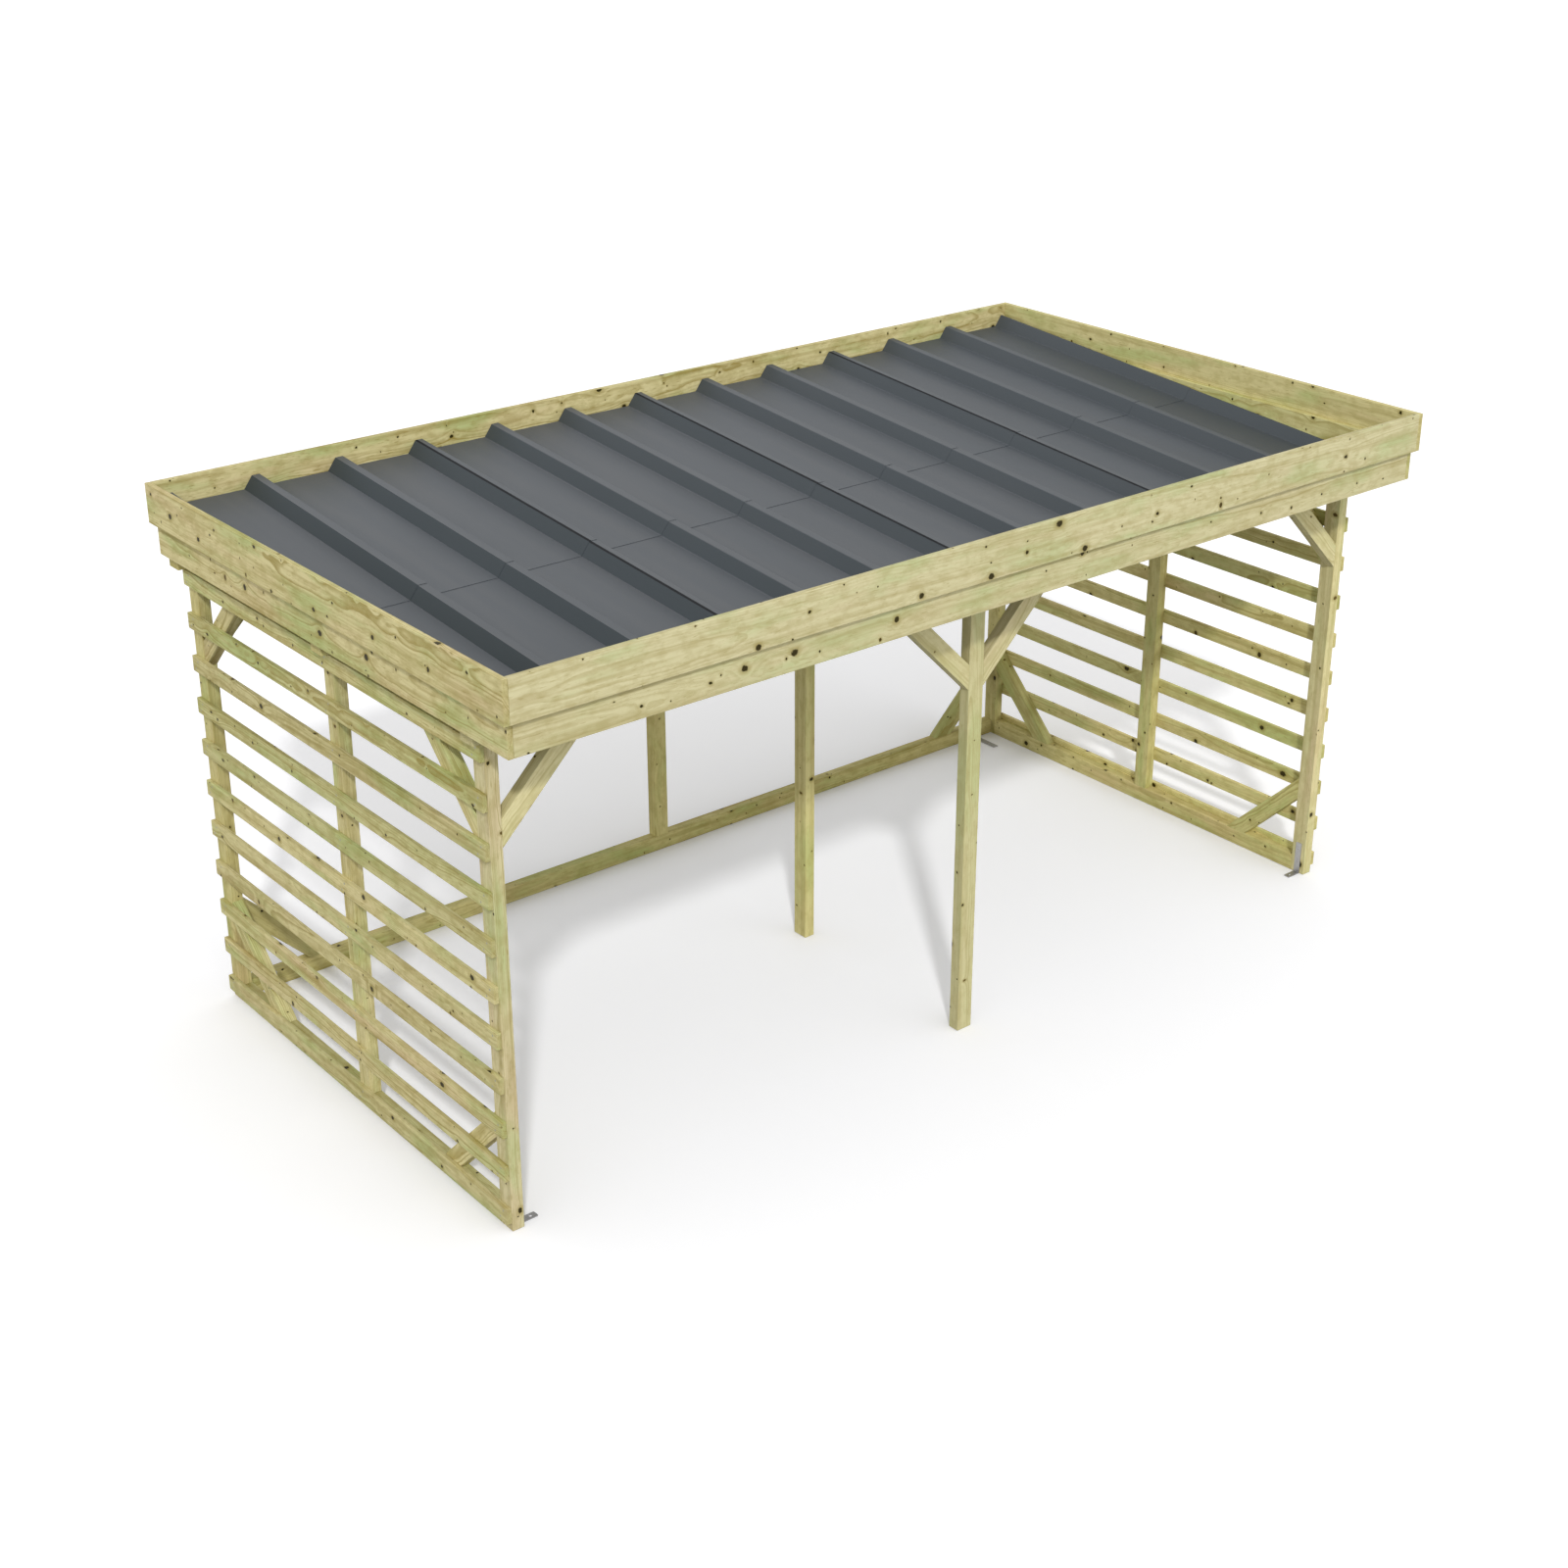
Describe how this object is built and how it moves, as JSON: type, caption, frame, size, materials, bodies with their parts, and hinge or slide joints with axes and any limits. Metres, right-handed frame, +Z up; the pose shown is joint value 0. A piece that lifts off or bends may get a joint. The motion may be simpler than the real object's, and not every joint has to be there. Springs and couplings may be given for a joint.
{
  "type": "firewood shelter",
  "caption": "Open-fronted timber shelter with slatted ends, knee braces and a ribbed steel roof behind stepped fascia boards, for stacking and drying firewood.",
  "frame": {"origin": "on the ground under the middle of the roof's outline", "axes": "+X along the long front towards its right end as seen from the front, +Y from the open front to the back, +Z up"},
  "size_m": [4.1, 2.26, 2.016],
  "materials": {
    "timber": "planed pressure-treated softwood, pale green-yellow with small knots",
    "sheet_steel": "matt grey coated ribbed sheet",
    "bracket_steel": "galvanised"
  },
  "bodies": {
    "root": {"front_left_post": "timber", "front_right_post": "timber", "front_middle_post": "timber", "inner_post": "timber", "back_left_post": "timber", "back_right_post": "timber", "back_middle_stud": "timber", "left_middle_stud": "timber", "right_middle_stud": "timber", "left_bottom_rail": "timber", "right_bottom_rail": "timber", "back_bottom_rail": "timber", "left_top_rail": "timber", "right_top_rail": "timber", "left_braces": "timber", "right_braces": "timber", "back_braces": "timber", "front_braces": "timber", "left_slats": "timber", "right_slats": "timber", "front_plate": "timber", "middle_plate": "timber", "back_plate": "timber", "middle_purlin": "timber", "back_purlin": "timber", "front_upper_fascia": "timber", "back_upper_fascia": "timber", "left_upper_fascia": "timber", "right_upper_fascia": "timber", "front_lower_fascia": "timber", "back_lower_fascia": "timber", "left_lower_fascia": "timber", "right_lower_fascia": "timber", "front_sheet_1": "sheet_steel", "front_sheet_2": "sheet_steel", "front_sheet_3": "sheet_steel", "front_sheet_4": "sheet_steel", "back_sheet_1": "sheet_steel", "back_sheet_2": "sheet_steel", "back_sheet_3": "sheet_steel", "back_sheet_4": "sheet_steel", "ground_brackets": "bracket_steel"}
  },
  "joints": []
}
